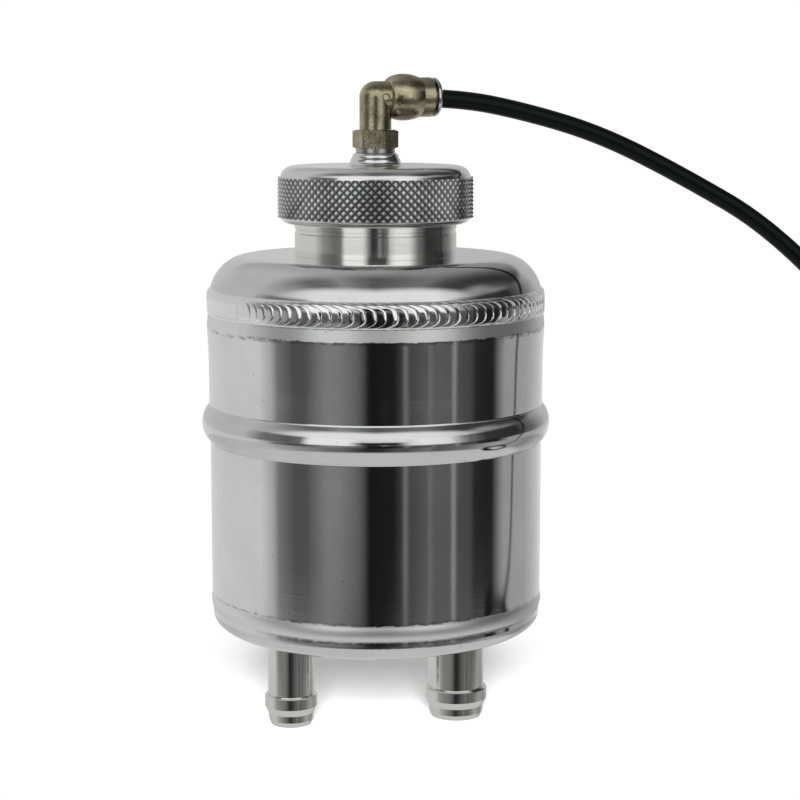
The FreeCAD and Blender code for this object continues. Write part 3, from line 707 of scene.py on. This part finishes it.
def environment(tree):
    """Light by direction: two soft boxes in front, dark gaps beside and above, a pale room behind.

    It depends on the world direction alone, so it stays where it is when the camera moves.
    Polished metal mirrors this room, with the pale part behind as its backdrop, because the
    photograph's metal shows darker things than the white round it. Only the camera sees white.
    """
    x, y, height = split_vector(tree, tree.nodes.new("ShaderNodeTexCoord").outputs["Generated"])
    forward = maths(tree, "MULTIPLY", y, -1.0)
    angle = maths(tree, "ARCTAN2", x, forward)
    compass = spread(tree, 0.5, angle, 0.5 / math.pi)
    side = spread(tree, 0.5, x, 0.5)
    over_top = maths(tree, "ARCTAN2", height, forward)
    rounding = maths(tree, "MULTIPLY", maths(tree, "ABSOLUTE", x), OVERHEAD_ROUNDING)
    lifted = maths(tree, "SUBTRACT", over_top, rounding)

    def around(stops):
        return ramp(tree, compass, [(degrees / 360 + 0.5, value) for degrees, value in stops])

    light = GROUND
    for low, high, stops in LEVELS:
        light = blend(tree, height, low, high, light, around(stops))
    above = blend(tree, lifted, *OVERHEAD_FROM, around(HIGH_LEVEL), ramp(tree, side, OVERHEAD))
    above = blend(tree, over_top, *BEHIND_FROM, above, ramp(tree, side, BEHIND))
    return blend(tree, height, *HIGH_FROM, light, above)


# Studio

def make_world():
    world = bpy.data.worlds.new("studio")
    bpy.context.scene.world = world
    world.use_nodes = True
    tree = world.node_tree
    background = tree.nodes["Background"]
    seen = tree.nodes.new("ShaderNodeLightPath").outputs["Is Camera Ray"]
    colour = mix_colour(tree, seen, environment(tree), (1.0, 1.0, 1.0))
    feed(tree, background.inputs["Color"], colour)
    background.inputs["Strength"].default_value = 1.0


def shadow_fade(tree):
    """How white the table is by itself: least in the middle of the shadow's patch, 1 outside it."""
    shift = tree.nodes.new("ShaderNodeMapping")
    shift.vector_type = "TEXTURE"
    feed(tree, shift.inputs["Vector"], object_place(tree)[0])
    shift.inputs["Location"].default_value = SHADOW_CENTRE
    shift.inputs["Scale"].default_value = SHADOW_SIZE
    reach = tree.nodes.new("ShaderNodeVectorMath")
    reach.operation = "LENGTH"
    feed(tree, reach.inputs[0], shift.outputs[0])
    fade = map_range(tree, reach.outputs["Value"], *SHADOW_FADE, "SMOOTHSTEP")
    fade.inputs["To Min"].default_value = SHADOW_LIGHTEST
    return fade.outputs[0]


def table_white():
    """White that the camera sees as plain white, apart from the shadow's patch."""
    material, tree, shader = new_material("table_white")
    shader.inputs["Base Color"].default_value = (0.90, 0.90, 0.90, 1.0)
    shader.inputs["Roughness"].default_value = 0.9
    white = tree.nodes.new("ShaderNodeEmission")
    white.inputs["Strength"].default_value = 1.0
    seen = tree.nodes.new("ShaderNodeLightPath").outputs["Is Camera Ray"]
    blended = tree.nodes.new("ShaderNodeMixShader")
    feed(tree, blended.inputs[0], maths(tree, "MULTIPLY", seen, shadow_fade(tree)))
    feed(tree, blended.inputs[1], shader.outputs[0])
    feed(tree, blended.inputs[2], white.outputs[0])
    feed(tree, tree.nodes["Material Output"].inputs["Surface"], blended.outputs[0])
    return material


def make_table():
    """A white table top. Metal mirrors the ground of the light by direction instead of it."""
    data = bpy.data.meshes.new("table")
    (left, right), (front, rear) = TABLE_X, TABLE_Y
    corners = [(left, front, 0), (right, front, 0), (right, rear, 0), (left, rear, 0)]
    data.from_pydata(corners, [], [(0, 1, 2, 3)])
    data.materials.append(table_white())
    table = add_object("table", data)
    table.visible_glossy = False


def make_lamp():
    """A soft lamp high in front, which throws the shadow to the rear. Metal doesn't mirror it."""
    data = bpy.data.lights.new("front", "AREA")
    data.shape = "RECTANGLE"
    data.size, data.size_y = LAMP_SIZE
    data.energy = LAMP_POWER
    lamp = add_object("front", data)
    lamp.location = LAMP_PLACE
    heading = Vector(LAMP_AIM) - Vector(LAMP_PLACE)
    lamp.rotation_euler = heading.to_track_quat("-Z", "Y").to_euler()
    lamp.visible_glossy = False


def make_scene():
    make_camera()
    materials = make_materials()
    make_vent_line(materials["tube_black"])
    make_weld(materials["weld_metal"])
    make_threads(materials["neck_metal"], materials["cap_metal"])
    dress_nodes(materials)
    make_world()
    make_table()
    make_lamp()
    bpy.context.scene.view_settings.view_transform = "Standard"


make_scene()
